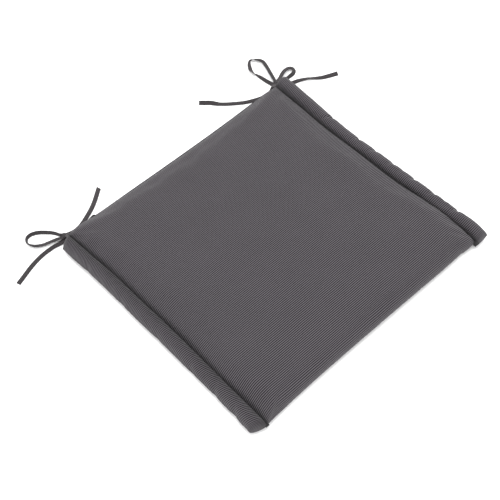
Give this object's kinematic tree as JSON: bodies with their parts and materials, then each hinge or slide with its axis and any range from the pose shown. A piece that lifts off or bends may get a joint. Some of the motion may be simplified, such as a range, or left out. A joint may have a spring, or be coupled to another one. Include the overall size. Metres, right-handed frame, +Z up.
{
  "type": "chair seat pad",
  "caption": "Square foam seat pad in a dark rib-weave cover, with a padded roll stitched along each side and tie tapes at the back corners.",
  "frame": {"origin": "on the surface that the pad lies on, under the middle of the pad (ties not counted)", "axes": "+Z up, out of the sitting face; +Y towards the back edge, where the ties are; +X to the sitter's left, looking at the pad from the front it is to the right"},
  "size_m": [0.6594, 0.5244, 0.035],
  "materials": {
    "rib_cloth": "matt charcoal rib weave, ribs across the width about 3 mm apart",
    "tie_tape": "flat woven tape, near-black, fine cross ribs",
    "thread": "dark polyester sewing thread, slight sheen",
    "foam": "open-cell cream polyurethane foam",
    "wadding": "white polyester wadding"
  },
  "bodies": {
    "root": {"cover": "rib_cloth", "foam_core": "foam", "left_roll_wadding": "wadding", "right_roll_wadding": "wadding", "left_channel_needle_thread": "thread", "left_channel_bobbin_thread": "thread", "right_channel_needle_thread": "thread", "right_channel_bobbin_thread": "thread", "left_side_seam": "rib_cloth", "right_side_seam": "rib_cloth", "back_seam": "rib_cloth", "left_front_tab": "tie_tape", "right_front_tab": "tie_tape", "left_tie_tack": "thread", "right_tie_tack": "thread", "left_tie_root": "tie_tape", "left_tie_knot": "tie_tape", "left_tie_outer_loop": "tie_tape", "left_tie_outer_tail": "tie_tape", "left_tie_inner_loop": "tie_tape", "left_tie_inner_tail": "tie_tape", "right_tie_root": "tie_tape", "right_tie_knot": "tie_tape", "right_tie_outer_loop": "tie_tape", "right_tie_outer_tail": "tie_tape", "right_tie_inner_loop": "tie_tape", "right_tie_inner_tail": "tie_tape"}
  },
  "joints": []
}
